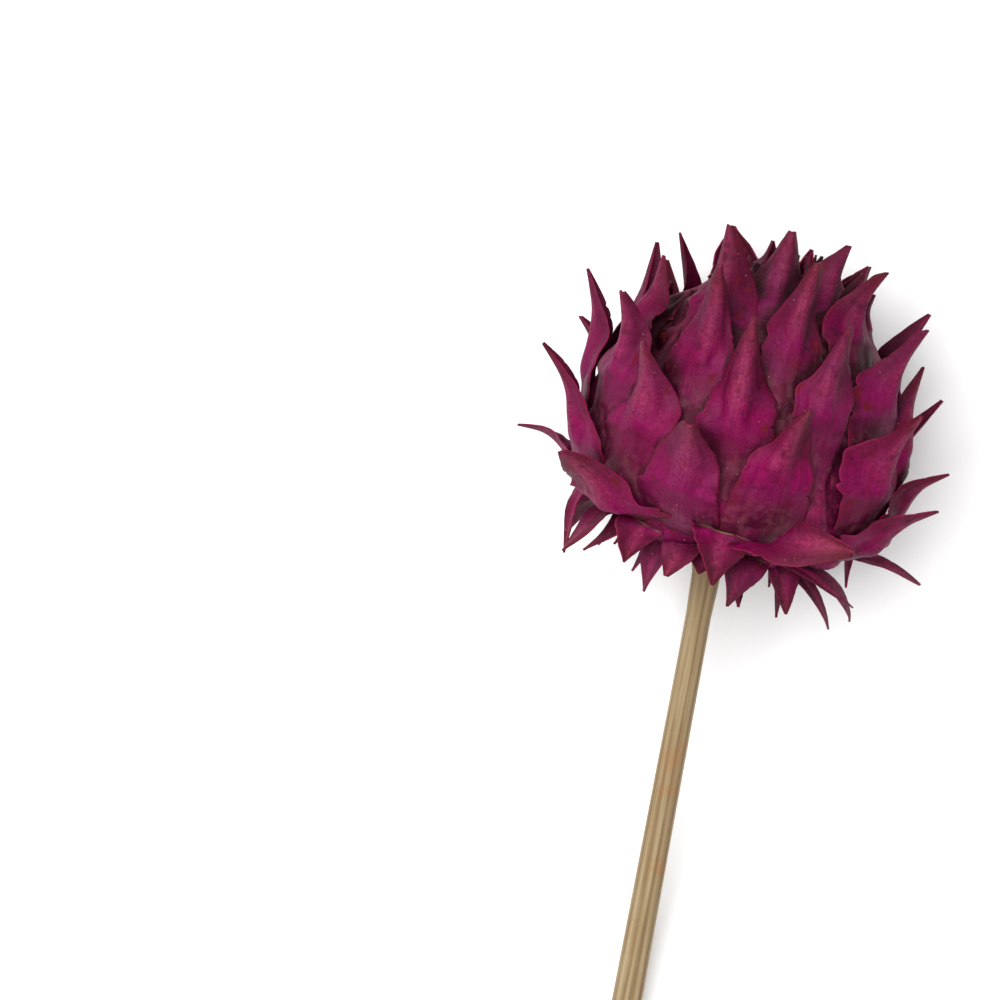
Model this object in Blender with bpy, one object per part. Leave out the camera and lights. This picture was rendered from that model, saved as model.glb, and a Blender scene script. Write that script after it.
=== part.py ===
"""Dried and dyed artichoke head on a length of its cut stem, lying on a surface.

Metres, +Z up. The surface is Z = 0 and the origin is under the middle of the part.
The head is worked out upright in a frame of its own: the axis is +Z, towards the apex, and azimuth 0
is -Y, the side that faces up once the head is laid down. A lean is an angle away from the axis.
"""

import bisect
import math
import random
from dataclasses import dataclass

import bmesh
import bpy
from mathutils import Matrix, Vector

MM = 0.001

# How the part lies: the head rests on its lower bracts and the stem on its cut end.
AXIS_RISE = math.radians(13.15)
HEAD_CENTRE = Vector((-0.0003, 0.0587, 0.045))

# The globe that the bracts cover, measured from the head's centre.
GLOBE_RADIUS = 43.5 * MM
GLOBE_WIDEST = -8.0 * MM
GLOBE_RISE = 52.0 * MM
GLOBE_DROP = 23.0 * MM
UNDERSIDE_POWER = 3.0
CORE_INSET = 1.0 * MM
CORE_SIDES = 18
CORE_RINGS = 10

# The bracts stand on one golden-angle spiral that climbs from the stem to the apex. Up to index -8 they
# are the small ones that hang down, and index 0 is the lowest of the broad ones on the upper side.
GOLDEN_TURN = 137.508
SPIRAL_START = -17.0
FIRST_BRACT, LAST_BRACT = -41, 53
SEED = 4107

# What a bract is like along the spiral: (index, value) pairs in millimetres or degrees.
SEAT = ((-41, 14), (-35, 21), (-26, 29), (-16, 35.5), (-8, 42.5), (-5, 44), (0, 50), (5, 56.5), (13, 69), (18, 75), (26, 91),
        (34, 103), (44, 116), (54, 125))
HELD = ((-35, 3), (-8, 7), (-3, 10), (0, 14), (5, 15), (13, 14), (34, 11), (54, 7))
FREE = ((-41, 10), (-35, 12), (-26, 15), (-16, 18.5), (-8, 20), (-4, 24), (0, 27), (5, 31), (13, 35.5), (24, 34), (30, 29),
        (36, 24), (44, 15), (54, 8))
HALF_WIDTH = ((-41, 3), (-35, 3.4), (-26, 4.6), (-16, 6), (-8, 8), (-3, 9), (0, 11.5), (5, 13), (14, 13), (20, 11.8),
              (26, 10.4), (34, 8.6), (44, 5), (54, 2.8))
TIP_LEAN = ((-35, 158), (-20, 158), (-8, 176), (-6, 104), (-3, 84), (0, 62), (5, 50), (13, 32), (24, 30), (34, 20),
            (54, 0))
LEAN_SPREAD = ((-35, 22), (-8, 12), (0, 9), (54, 6))
STIFFNESS = ((-35, 0.12), (-8, 0.14), (-3, 0.34), (5, 0.42))

# Bracts that the spiral's averages don't fit: index, then what differs. Angles are in degrees.
ODD_BRACTS = {
    -11: {"lean": 136},
    -6: {"lean": 108},
    -5: {"lean": 84, "azimuth": -50, "half_width": 10.5 * MM},
    -4: {"lean": 148, "free": 19 * MM, "twist": 4},
    -3: {"lean": 106, "azimuth": 36, "sway": 7, "free": 22 * MM},
    -2: {"lean": 98},
    -1: {"lean": 76, "azimuth": 114},
    0: {"azimuth": -13, "half_width": 11.2 * MM, "free": 29 * MM, "sway": 0},
    5: {"azimuth": 14, "free": 33 * MM, "sway": 2, "twist": 4},
    7: {"lean": 34},
    8: {"azimuth": -33.5, "half_width": 13.2 * MM, "twist": -6, "lean": 38},
    10: {"lean": 58, "azimuth": 53, "seat": 59 * MM},
    13: {"azimuth": -5, "half_width": 13.8 * MM, "free": 36 * MM, "seat": 67 * MM, "sway": -1, "twist": 3},
    15: {"seat": 63 * MM, "lean": 18},
    18: {"azimuth": 27, "half_width": 12.4 * MM, "sway": 0, "twist": -4},
    19: {"lean": 16},
    21: {"azimuth": -21, "free": 35 * MM, "sway": 1, "half_width": 12 * MM},
    23: {"lean": 48, "seat": 80 * MM},
    24: {"lean": 20, "free": 30 * MM},
    26: {"azimuth": 11, "sway": 0, "half_width": 11 * MM},
    29: {"azimuth": -31, "half_width": 11.5 * MM, "free": 31 * MM, "sway": 0},
    31: {"azimuth": 47, "lean": 44, "half_width": 10.5 * MM, "free": 32 * MM, "sway": 0},
    34: {"azimuth": -4, "half_width": 10.5 * MM, "free": 29 * MM, "sway": 0},
    39: {"azimuth": 38, "half_width": 9.5 * MM, "free": 27 * MM, "lean": 22, "seat": 104 * MM, "sway": 0},
}
ANGLES = ("azimuth", "lean", "sway", "twist")

# A bract's own form. Its free part is a shield that narrows to a claw: (share of its length, share of its width).
BLADE = 0.8 * MM
SHIELD = ((0.0, 0.98), (0.22, 1.0), (0.48, 0.6), (0.74, 0.27), (1.0, 0.03))
TIP_HALF_WIDTH = 0.35 * MM
LAYER_SLOPE = 0.05
ROOT_DIVE = 1.7 * MM
ROOT_NARROWING = 0.7
TIP_ROLL_RADIUS = 2.6 * MM
ROLLS_FROM, ROLLED_BY = 0.2, 0.78
MOST_ROLL = math.radians(78)
BROAD_FROM, BROAD_TO = -5, 27
LARGE_FROM, LARGE_TO = -20, 40

# The stem, down from the head's centre: (distance, radius) in millimetres.
STEM_PROFILE = ((30.4, 7.0), (34, 5.3), (40, 3.8), (52, 3.3), (110, 3.6), (182, 4.1))
STEM_BEND_AT = 34.0 * MM
STEM_BEND = math.radians(4.0)
STEM_RIBS = 9
RIB_DEPTH = 0.06

CLEARANCE = 0.3 * MM
FLOOR_CUT = 0.1 * MM

DYED_BRACT = ((0.235, 0.012, 0.072, 1.0), 0.55)
BLEACHED_STEM = ((0.42, 0.31, 0.17, 1.0), 0.6)


def along(pairs, index):
    """The value at an index, in a straight line between the pairs on either side."""
    place = bisect.bisect([pair[0] for pair in pairs], index)
    if place == 0:
        return pairs[0][1]
    if place == len(pairs):
        return pairs[-1][1]
    (low, first), (high, second) = pairs[place - 1], pairs[place]
    return first + (second - first) * (index - low) / (high - low)


def globe_outline(steps=400):
    """The globe's outline as (length along it, radius, height), from under the middle to the apex."""
    points = []
    for i in range(steps + 1):
        radius = GLOBE_RADIUS * math.sin(math.pi / 2 * i / steps)
        share = (1 - (radius / GLOBE_RADIUS) ** UNDERSIDE_POWER) ** (1 / UNDERSIDE_POWER)
        points.append((radius, GLOBE_WIDEST - GLOBE_DROP * share))
    for i in range(1, steps + 1):
        turn = math.pi / 2 * i / steps
        points.append((GLOBE_RADIUS * math.cos(turn), GLOBE_WIDEST + GLOBE_RISE * math.sin(turn)))
    outline = [(0.0, *points[0])]
    for before, point in zip(points, points[1:]):
        outline.append((outline[-1][0] + math.dist(before, point), *point))
    return outline


OUTLINE = globe_outline()
OUTLINE_LENGTHS = [point[0] for point in OUTLINE]


def on_globe(length):
    """(radius, height, lean) of the globe at this length along its outline."""
    place = min(max(bisect.bisect(OUTLINE_LENGTHS, length), 1), len(OUTLINE) - 1)
    (start, r0, z0), (end, r1, z1) = OUTLINE[place - 1], OUTLINE[place]
    share = (length - start) / (end - start)
    return r0 + (r1 - r0) * share, z0 + (z1 - z0) * share, math.atan2(r1 - r0, z1 - z0)


@dataclass
class Bract:
    """One bract: where it leaves the globe and how it grows from there."""

    index: int
    azimuth: float
    seat: float
    held: float
    free: float
    half_width: float
    lean: float
    stiffness: float
    sway: float
    twist: float


def bract_at(index):
    """The bract at this place on the spiral, with its own small departures from the average."""
    draw = random.Random(SEED + 7919 * index)
    spread = along(LEAN_SPREAD, index)
    values = {
        "azimuth": SPIRAL_START - index * GOLDEN_TURN + draw.uniform(-3, 3),
        "seat": along(SEAT, index) * MM + draw.uniform(-0.8, 0.8) * MM,
        "held": along(HELD, index) * MM,
        "free": along(FREE, index) * MM * draw.uniform(0.92, 1.08),
        "half_width": along(HALF_WIDTH, index) * MM * draw.uniform(0.94, 1.06),
        "lean": along(TIP_LEAN, index) + draw.uniform(-spread, spread),
        "stiffness": along(STIFFNESS, index),
        "sway": draw.uniform(-7, 7),
        "twist": draw.uniform(-14, 14),
    }
    values.update(ODD_BRACTS.get(index, {}))
    for name in ANGLES:
        values[name] = math.radians(values[name])
    return Bract(index=index, **values)


def heading(lean):
    """The unit step (outwards, upwards) at this lean."""
    return Vector((math.sin(lean), math.cos(lean)))


def centre_line(bract, s):
    """(radius, height) and lean at s: -0.25 at the root, 0 where the bract leaves the globe, 1 at its tip."""
    if s < 0:
        share = -4 * s
        radius, height, lean = on_globe(bract.seat - share * bract.held)
        depth = LAYER_SLOPE * share * bract.held + ROOT_DIVE * share**3
        return Vector((radius, height)) - depth * heading(lean + math.pi / 2), lean
    radius, height, seat_lean = on_globe(bract.seat)
    start = Vector((radius, height))
    stiff = bract.stiffness
    tip = start + bract.free * (stiff * heading(seat_lean) + (1 - stiff) * heading(bract.lean))
    first = start + 0.8 * stiff * bract.free * heading(seat_lean)
    second = tip - 0.55 * (1 - stiff) * bract.free * heading(bract.lean)
    k = 1 - s
    point = k**3 * start + 3 * k * k * s * first + 3 * k * s**2 * second + s**3 * tip
    slope = k * k * (first - start) + 2 * k * s * (second - first) + s**2 * (tip - second)
    return point, math.atan2(slope.x, slope.y)


def half_width_at(bract, s):
    """Half the blade's width, laid flat."""
    if s < 0:
        return bract.half_width * (SHIELD[0][1] + ROOT_NARROWING * s)
    return max(TIP_HALF_WIDTH, bract.half_width * along(SHIELD, s))


def bract_point(bract, u, s):
    """Where the blade's middle surface is, upright, at u from -1 to 1 across and s from -0.25 to 1 along."""
    (radius, height), lean = centre_line(bract, s)
    beyond = max(0.0, s)
    azimuth = bract.azimuth + bract.sway * beyond**2
    out = Vector((math.sin(azimuth), -math.cos(azimuth), 0))
    across = Vector((math.cos(azimuth), math.sin(azimuth), 0))
    up = Vector((0, 0, 1))
    grow = math.sin(lean) * out + math.cos(lean) * up
    turned = Matrix.Rotation(bract.twist * beyond, 3, grow)
    face = turned @ (math.cos(lean) * out - math.sin(lean) * up)
    side = turned @ across
    width = half_width_at(bract, s)
    flat_roll = 0.92 * max(radius, 8 * MM)
    roll = flat_roll + (TIP_ROLL_RADIUS - flat_roll) * min(1.0, max(0.0, s - ROLLS_FROM) / (ROLLED_BY - ROLLS_FROM))
    roll = max(roll, width / MOST_ROLL)
    angle = u * width / roll
    return radius * out + height * up + roll * math.sin(angle) * side - roll * (1 - math.cos(angle)) * face


def laid_down():
    """The matrix that lays the upright head on the surface."""
    return Matrix.Translation(HEAD_CENTRE) @ Matrix.Rotation(AXIS_RISE - math.pi / 2, 4, "X")


def pressed(point):
    """A point of a blade's middle surface, laid down: what would go through the surface lies along it."""
    world = laid_down() @ point
    world.z = max(world.z, BLADE / 2 - FLOOR_CUT)
    return world


def link(name, mesh):
    """A new object in the scene for this mesh."""
    thing = bpy.data.objects.new(name, mesh)
    bpy.context.scene.collection.objects.link(thing)
    return thing


def apply_modifiers(thing):
    """Makes the object's modifiers a part of its mesh."""
    graph = bpy.context.evaluated_depsgraph_get()
    mesh = bpy.data.meshes.new_from_object(thing.evaluated_get(graph))
    thing.modifiers.clear()
    thing.data = mesh


def blade_object(bract):
    """One bract as a closed blade. Its triangles are alike on both faces."""
    across = 4 if BROAD_FROM <= bract.index <= BROAD_TO else 2
    lengthwise = 5 if LARGE_FROM <= bract.index <= LARGE_TO else 4
    build = bmesh.new()
    bmesh.ops.create_grid(build, x_segments=across, y_segments=lengthwise, size=0.5)
    for vertex in build.verts:
        vertex.co = pressed(bract_point(bract, 2 * vertex.co.x, 1.25 * vertex.co.y + 0.375))
    bmesh.ops.triangulate(build, faces=build.faces[:])
    mesh = bpy.data.meshes.new("bract")
    build.to_mesh(mesh)
    build.free()
    blade = link(f"bract_{bract.index}", mesh)
    thicken = blade.modifiers.new("thicken", "SOLIDIFY")
    thicken.thickness = BLADE
    thicken.offset = 0.0
    apply_modifiers(blade)
    return blade


def core_object():
    """The closed inner body that the bracts are rooted in, a little inside the globe."""
    build = bmesh.new()
    rows = []
    longest = OUTLINE_LENGTHS[-1]
    flat = 9 * MM
    for i in range(CORE_RINGS):
        length = flat + (longest - flat - 6 * MM) * i / (CORE_RINGS - 1)
        radius, height, lean = on_globe(length)
        point = Vector((radius, height)) - CORE_INSET * heading(lean + math.pi / 2)
        rows.append(point)
    rings = []
    for point in rows:
        made = bmesh.ops.create_circle(build, segments=CORE_SIDES, radius=point.x)
        bmesh.ops.translate(build, verts=made["verts"], vec=(0, 0, point.y))
        edges = {edge for vertex in made["verts"] for edge in vertex.link_edges}
        rings.append(sorted(edges, key=lambda edge: edge.index))
    for lower, upper in zip(rings, rings[1:]):
        bmesh.ops.bridge_loops(build, edges=lower + upper)
    for ring in (rings[0], rings[-1]):
        bmesh.ops.contextual_create(build, geom=ring)
    bmesh.ops.recalc_face_normals(build, faces=build.faces)
    bmesh.ops.triangulate(build, faces=build.faces[:])
    bmesh.ops.transform(build, matrix=laid_down(), verts=build.verts)
    mesh = bpy.data.meshes.new("head")
    build.to_mesh(mesh)
    build.free()
    return link("head", mesh)


def join_blades(head, blades):
    """Unites the blades with the core, and cuts the underside flat where it touches the surface."""
    repeats = bpy.data.collections.new("repeats")
    for blade in blades:
        repeats.objects.link(blade)
    union = head.modifiers.new("union", "BOOLEAN")
    union.operation = "UNION"
    union.operand_type = "COLLECTION"
    union.collection = repeats
    union.solver = "MANIFOLD"
    apply_modifiers(head)
    for blade in blades:
        bpy.data.objects.remove(blade)
    bpy.data.collections.remove(repeats)

    build = bmesh.new()
    bmesh.ops.create_cube(build, size=0.4)
    bmesh.ops.translate(build, verts=build.verts, vec=(0, 0, -0.2))
    mesh = bpy.data.meshes.new("floor_cutter")
    build.to_mesh(mesh)
    build.free()
    cutter = link("floor_cutter", mesh)
    cut = head.modifiers.new("flat spots", "BOOLEAN")
    cut.operation = "DIFFERENCE"
    cut.object = cutter
    cut.solver = "MANIFOLD"
    apply_modifiers(head)
    bpy.data.objects.remove(cutter)


def island_of(start):
    """The faces joined to this one by their edges."""
    found, waiting = {start}, [start]
    while waiting:
        for edge in waiting.pop().edges:
            for face in edge.link_faces:
                if face not in found:
                    found.add(face)
                    waiting.append(face)
    return found


def signed_volume(faces):
    """Six times the volume inside these triangles, negative for a sealed hollow."""
    return sum(f.verts[0].co.dot(f.verts[1].co.cross(f.verts[2].co)) for f in faces)


def keep_outer_shell(thing):
    """Fills the hollows that joining has sealed and drops loose scraps, so one closed shell is left."""
    build = bmesh.new()
    build.from_mesh(thing.data)
    bmesh.ops.triangulate(build, faces=build.faces[:])
    left, islands = set(build.faces), []
    while left:
        island = island_of(next(iter(left)))
        left -= island
        islands.append(island)
    keep = max(islands, key=signed_volume)
    bmesh.ops.delete(build, geom=[f for f in build.faces if f not in keep], context="FACES")
    build.to_mesh(thing.data)
    build.free()


def stem_line(distance):
    """The stem's centre, laid down, this far below the head's centre."""
    beyond = max(0.0, distance - STEM_BEND_AT)
    upright = Vector((beyond * math.sin(STEM_BEND), 0, -(distance - beyond) - beyond * math.cos(STEM_BEND)))
    return laid_down() @ upright


def stem_object():
    """The ribbed stem, widening where it meets the head and cut square at its other end."""
    sides = 2 * STEM_RIBS
    build = bmesh.new()
    rings = []
    stations = [pair[0] for pair in STEM_PROFILE]
    frame = laid_down().to_3x3()
    for distance in stations:
        radius = along(STEM_PROFILE, distance) * MM
        made = bmesh.ops.create_circle(build, segments=sides, radius=radius)
        for i, vertex in enumerate(made["verts"]):
            vertex.co *= 1 + RIB_DEPTH * (1 if i % 2 else -1)
        bmesh.ops.transform(
            build, verts=made["verts"], matrix=Matrix.Translation(stem_line(distance * MM)) @ frame.to_4x4()
        )
        rings.append(list({edge for vertex in made["verts"] for edge in vertex.link_edges}))
    for upper, lower in zip(rings, rings[1:]):
        bmesh.ops.bridge_loops(build, edges=upper + lower)
    for ring in (rings[0], rings[-1]):
        bmesh.ops.contextual_create(build, geom=ring)
    for vertex in build.verts:
        vertex.co.z = max(vertex.co.z, 0.0)
    bmesh.ops.recalc_face_normals(build, faces=build.faces)
    bmesh.ops.triangulate(build, faces=build.faces[:])
    mesh = bpy.data.meshes.new("stem")
    build.to_mesh(mesh)
    build.free()
    return link("stem", mesh)


def coat(thing, name, look):
    """Gives the object its one material."""
    color, roughness = look
    material = bpy.data.materials.new(name)
    material.use_nodes = True
    shader = material.node_tree.nodes["Principled BSDF"]
    shader.inputs["Base Color"].default_value = color
    shader.inputs["Roughness"].default_value = roughness
    shader.inputs["Metallic"].default_value = 0.0
    thing.data.materials.clear()
    thing.data.materials.append(material)


def main():
    """Builds the head and its stem."""
    for thing in list(bpy.data.objects):
        bpy.data.objects.remove(thing)
    head = core_object()
    blades = [blade_object(bract_at(index)) for index in range(FIRST_BRACT, LAST_BRACT + 1)]
    join_blades(head, blades)
    keep_outer_shell(head)
    coat(head, "dyed bract", DYED_BRACT)
    coat(stem_object(), "bleached stem", BLEACHED_STEM)


main()
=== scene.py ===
"""Dresses the dried artichoke head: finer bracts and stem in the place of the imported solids.

The head is worked out upright in a frame of its own, with its axis along +Z towards the apex and azimuth 0
at -Y, the side that faces up once the head is laid down. A lean is an angle away from the axis. Sizes are in
metres and angles in radians, but for the tables of the spiral, which are in millimetres and degrees.
"""

import logging
import math
import random
from dataclasses import dataclass, field, replace
from enum import Enum

import bmesh
import bpy
import numpy as np
from mathutils import Matrix, Vector
from mathutils.bvhtree import BVHTree

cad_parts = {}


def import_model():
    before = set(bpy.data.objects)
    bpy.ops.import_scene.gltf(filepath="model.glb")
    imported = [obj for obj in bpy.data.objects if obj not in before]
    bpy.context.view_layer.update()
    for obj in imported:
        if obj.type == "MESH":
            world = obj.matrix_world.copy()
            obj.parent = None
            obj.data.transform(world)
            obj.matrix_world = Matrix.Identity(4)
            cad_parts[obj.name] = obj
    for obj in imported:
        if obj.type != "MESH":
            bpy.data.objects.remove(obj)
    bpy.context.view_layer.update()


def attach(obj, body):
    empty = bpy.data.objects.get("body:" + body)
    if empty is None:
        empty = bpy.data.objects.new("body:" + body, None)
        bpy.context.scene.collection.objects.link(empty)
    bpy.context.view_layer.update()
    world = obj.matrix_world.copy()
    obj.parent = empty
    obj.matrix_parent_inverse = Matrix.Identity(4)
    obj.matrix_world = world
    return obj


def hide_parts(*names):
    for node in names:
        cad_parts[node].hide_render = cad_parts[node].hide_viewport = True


log = logging.getLogger("artichoke")

MM = 0.001
Pairs = tuple[tuple[float, float], ...]
Colour = tuple[float, float, float]
Socket = bpy.types.NodeSocket
Places = dict[str, Socket]


def along(pairs: Pairs, place: float) -> float:
    """The value at a place, in a straight line between the (place, value) pairs on either side."""
    return float(np.interp(place, [p[0] for p in pairs], [p[1] for p in pairs]))


def smoothly_along(pairs: Pairs, places: np.ndarray) -> np.ndarray:
    """The values at many places, on a smooth curve through the pairs.

    Args:
        pairs: (place, value) pairs with rising places.
        places: Where the values are wanted.

    Returns:
        The values there.
    """
    knots = np.array([p[0] for p in pairs])
    values = np.array([p[1] for p in pairs])
    slopes = np.gradient(values, knots)
    where = np.clip(places, knots[0], knots[-1])
    i = np.clip(np.searchsorted(knots, where) - 1, 0, len(knots) - 2)
    span = knots[i + 1] - knots[i]
    t = (where - knots[i]) / span
    return (
        (1 + 2 * t) * (1 - t) ** 2 * values[i]
        + t * (1 - t) ** 2 * span * slopes[i]
        + t * t * (3 - 2 * t) * values[i + 1]
        + t * t * (t - 1) * span * slopes[i + 1]
    )


def eased(value: np.ndarray, low: float, high: float) -> np.ndarray:
    """A smooth climb from 0, where the value is low, to 1, where it is high."""
    t = np.clip((value - low) / (high - low), 0.0, 1.0)
    return t * t * (3 - 2 * t)


def srgb(red: int, green: int, blue: int) -> Colour:
    """The linear colour of a screen colour given in 0 to 255."""
    shares = [c / 255 for c in (red, green, blue)]
    return tuple(s / 12.92 if s <= 0.04045 else ((s + 0.055) / 1.055) ** 2.4 for s in shares)


@dataclass(frozen=True)
class Lie:
    """How the head and stem lie: on the lower bracts and the stem's cut end."""

    axis_rise: float = math.radians(13.15)
    head_centre: tuple[float, float, float] = (-0.0003, 0.0587, 0.045)
    soft_press: float = 0.25 * MM
    lowest_middle: float = 0.34 * MM

    def matrix(self) -> Matrix:
        """The matrix that lays the upright head on the surface."""
        return Matrix.Translation(self.head_centre) @ Matrix.Rotation(self.axis_rise - math.pi / 2, 4, "X")

    def place(self, points: np.ndarray) -> np.ndarray:
        """Lays upright points down, in rows of three."""
        turn = np.array(self.matrix().to_3x3())
        return points @ turn.T + np.array(self.head_centre)

    def press(self, points: np.ndarray) -> np.ndarray:
        """Flattens softly what would go through the surface.

        Args:
            points: Points of a thin blade's middle, laid down.

        Returns:
            The points, none lower than half a blade.
        """
        pressed = points.copy()
        over = (points[..., 2] - self.lowest_middle) / self.soft_press
        pressed[..., 2] = self.lowest_middle + self.soft_press * np.logaddexp(0.0, over)
        return pressed


@dataclass(frozen=True)
class Globe:
    """The globe that the bracts cover: a dome over a flatter underside."""

    radius: float = 43.5 * MM
    widest: float = -8.0 * MM
    rise: float = 52.0 * MM
    drop: float = 23.0 * MM
    underside_power: float = 3.0
    steps: int = 400

    def outline(self) -> tuple[np.ndarray, np.ndarray, np.ndarray]:
        """The outline from under the middle to the apex.

        Returns:
            The lengths along it, the radii and the heights.
        """
        turn = np.linspace(0.0, math.pi / 2, self.steps + 1)
        low_radius = self.radius * np.sin(turn)
        share = (1 - np.minimum(1.0, low_radius / self.radius) ** self.underside_power) ** (1 / self.underside_power)
        radii = np.concatenate([low_radius, self.radius * np.cos(turn[1:])])
        heights = np.concatenate([self.widest - self.drop * share, self.widest + self.rise * np.sin(turn[1:])])
        lengths = np.concatenate([[0.0], np.cumsum(np.hypot(np.diff(radii), np.diff(heights)))])
        return lengths, radii, heights

    def at(self, length: np.ndarray) -> tuple[np.ndarray, np.ndarray, np.ndarray]:
        """Where the outline is at these lengths.

        Args:
            length: Lengths along the outline from under the middle.

        Returns:
            The radii, the heights and the leans there.
        """
        lengths, radii, heights = self.outline()
        leans = np.unwrap(np.arctan2(np.gradient(radii, lengths), np.gradient(heights, lengths)))
        return tuple(np.interp(length, lengths, values) for values in (radii, heights, leans))


@dataclass(frozen=True)
class Bract:
    """One bract: where it leaves the globe, how it grows from there and its own creases."""

    index: int
    azimuth: float
    seat: float
    held: float
    free: float
    half_width: float
    lean: float
    stiffness: float
    sway: float
    twist: float
    globe: Globe
    left: tuple[float, ...] = ()
    right: tuple[float, ...] = ()

    # Places along the blade, and how far its margin is from the midrib there as a share of the half width:
    # for a bract with reaches of its own, and then for the usual bract of each kind.
    REACH_AT = (-0.3, -0.15, 0.0, 0.12, 0.24, 0.36, 0.5, 0.65, 0.8, 0.92, 1.0)
    STANDING = (
        (-0.5, 0.52), (-0.32, 0.60), (-0.16, 0.68), (0.0, 0.77), (0.1, 0.81), (0.18, 0.79), (0.26, 0.73),
        (0.36, 0.63), (0.46, 0.50), (0.58, 0.365), (0.7, 0.25), (0.85, 0.14), (1.0, 0.03),
    )
    LOW = (
        (-0.5, 0.60), (-0.2, 0.76), (0.0, 0.86), (0.12, 0.91), (0.24, 0.88), (0.36, 0.76), (0.5, 0.57),
        (0.65, 0.42), (0.8, 0.27), (0.92, 0.15), (1.0, 0.06),
    )
    HANGING = (
        (-0.5, 0.5), (-0.2, 0.8), (0.0, 0.97), (0.2, 1.06), (0.4, 1.0), (0.6, 0.8), (0.8, 0.45), (0.92, 0.2),
        (1.0, 0.03),
    )
    FULLNESS = ((-7, 1.14), (-5, 1.0), (18, 1.0), (24, 1.14), (36, 1.25), (53, 1.3))
    TIP_HALF_WIDTH = 0.32 * MM
    LAYER_SLOPE = 0.10
    LAST_HANGING = -6
    ASIDE_SEED, MARGIN_SEED, RELIEF_SEED, TILT_SEED = 1360, 9120, 160, 5120

    @property
    def clawed(self) -> float:
        """How much its end is a rolled claw rather than a flat point: none low on the head, and all above."""
        return 0.0 if self.hangs else float(eased(np.array(self.index), -9, 10))

    @property
    def hangs(self) -> bool:
        """Whether it is one of the small bracts that hang down round the stem."""
        return self.index < self.LAST_HANGING

    def centre_line(self, s: np.ndarray) -> tuple[np.ndarray, np.ndarray, np.ndarray]:
        """The blade's middle line.

        Args:
            s: Places along it: below 0 it is held against the globe, and 1 is its tip.

        Returns:
            The radii, the heights and the leans there.
        """
        held_s = np.minimum(s, 0.0)
        radius, height, lean = self.globe.at(self.seat + 4 * held_s * self.held)
        depth = -4 * held_s * self.held * self.LAYER_SLOPE
        radius, height = radius - depth * np.cos(lean), height + depth * np.sin(lean)

        r0, z0, lean0 = (float(v) for v in self.globe.at(np.array(self.seat)))
        start = np.array([r0, z0])
        first_way = np.array([math.sin(lean0), math.cos(lean0)])
        last_way = np.array([math.sin(self.lean), math.cos(self.lean)])
        tip = start + self.free * (self.stiffness * first_way + (1 - self.stiffness) * last_way)
        first = start + 0.6 * self.stiffness * self.free * first_way
        straight = tip - first
        second = tip - 0.38 * straight - 0.12 * float(np.hypot(*straight)) * last_way
        t = np.clip(s, 0.0, 1.0)[..., None]
        k = 1 - t
        point = k**3 * start + 3 * k * k * t * first + 3 * k * t**2 * second + t**3 * tip
        slope = k * k * (first - start) + 2 * k * t * (second - first) + t**2 * (tip - second)
        free_lean = np.arctan2(slope[..., 0], slope[..., 1])
        is_free = s > 0
        return (
            np.where(is_free, point[..., 0], radius),
            np.where(is_free, point[..., 1], height),
            np.where(is_free, free_lean, lean),
        )

    def usual_reach(self, s: np.ndarray, side: int) -> np.ndarray:
        """How far a bract with no outline of its own reaches to one side, as a share of its half width.

        Args:
            s: Places along the blade.
            side: 0 for the left side, 1 for the right.

        Returns:
            The share at each place.
        """
        flat = smoothly_along(self.HANGING if self.hangs else self.LOW, s)
        width = flat * (1 - self.clawed) + smoothly_along(self.STANDING, s) * self.clawed
        aside = np.random.default_rng(self.ASIDE_SEED + self.index).uniform(-0.16, 0.16)
        return width * along(self.FULLNESS, self.index) * (1 + aside * (2 * side - 1) * eased(s, -0.2, 0.3))

    def outline(self, s: np.ndarray, side: int) -> np.ndarray:
        """How far the blade reaches to one side of its midrib, with its own lobes and nicks.

        Args:
            s: Places along the blade.
            side: 0 for the left side, 1 for the right.

        Returns:
            The reach at each place.
        """
        draw = np.random.default_rng(self.MARGIN_SEED + 2 * self.index + side)
        own_reach = (self.left, self.right)[side]
        if own_reach:
            width = self.half_width * smoothly_along(tuple(zip(self.REACH_AT, own_reach)), s)
        else:
            width = self.half_width * self.usual_reach(s, side) * draw.uniform(0.96, 1.05)
        lobes = draw.uniform(0.02, 0.05) * np.sin(2 * math.pi * (s * draw.uniform(1.6, 2.6) + draw.uniform()))
        ripple = draw.uniform(0.006, 0.016) * np.sin(2 * math.pi * (s * draw.uniform(6, 9) + draw.uniform()))
        shoulder = draw.uniform(0.0, 0.12) * np.exp(-(((s - draw.uniform(0.1, 0.24)) / 0.045) ** 2))
        nicks = np.zeros_like(s)
        for _ in range(draw.integers(2, 6)):
            centre, wide, deep = draw.uniform(-0.05, 0.9), draw.uniform(0.004, 0.014), draw.uniform(0.02, 0.1)
            nicks = nicks - deep * np.exp(-(((s - centre) / wide) ** 2))
        return np.maximum(self.TIP_HALF_WIDTH, width * (1 + lobes + ripple + (nicks + shoulder)))

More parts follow.
